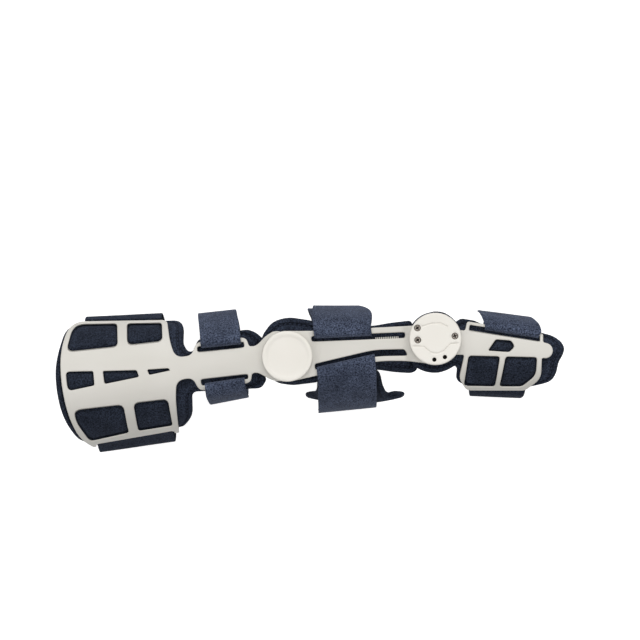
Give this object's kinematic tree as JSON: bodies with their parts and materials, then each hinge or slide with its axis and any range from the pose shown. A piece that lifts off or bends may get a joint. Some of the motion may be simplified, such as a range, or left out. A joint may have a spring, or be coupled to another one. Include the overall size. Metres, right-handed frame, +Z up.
{
  "type": "hinged wrist hand finger splint",
  "caption": "Hinged splint for forearm, hand and fingers: white moulded side plates on two round hinges, dark padded liners and four fabric straps.",
  "frame": {"origin": "on the surface it lies on, under the middle of its box", "axes": "+X towards the fingertips, +Y towards the back of the hand, +Z up along both hinges"},
  "size_m": [0.2788, 0.0838, 0.0931],
  "materials": {
    "plate_plastic": "satin moulded",
    "cap_plastic": "satin moulded",
    "pad_fabric": "brushed knit over foam",
    "strap_fabric": "loop pile",
    "steel": "plain"
  },
  "bodies": {
    "forearm": {"forearm_shell": "plate_plastic", "forearm_pad": "pad_fabric", "forearm_strap": "strap_fabric", "wrist_strap": "strap_fabric"},
    "hand": {"hand_plate": "plate_plastic", "hand_pad": "pad_fabric", "palm_pad": "pad_fabric", "palm_strap": "strap_fabric", "wrist_cap": "cap_plastic", "finger_cap": "cap_plastic", "wrist_pin": "steel", "finger_pin": "steel", "cap_screw_1": "steel", "cap_screw_2": "steel", "cap_screw_3": "steel"},
    "fingers": {"finger_shell": "plate_plastic", "finger_pad": "pad_fabric", "finger_strap": "strap_fabric"}
  },
  "joints": [
    {"name": "wrist_hinge", "type": "hinge", "parent": "forearm", "child": "hand", "pos_m": [-0.01249, 0.01302, 0.086], "axis": [0, 0, 1], "range_deg": [-45, 40]},
    {"name": "finger_hinge", "type": "hinge", "parent": "hand", "child": "fingers", "pos_m": [0.06875, 0.02256, 0.086], "axis": [0, 0, 1], "range_deg": [-50, 25]}
  ]
}
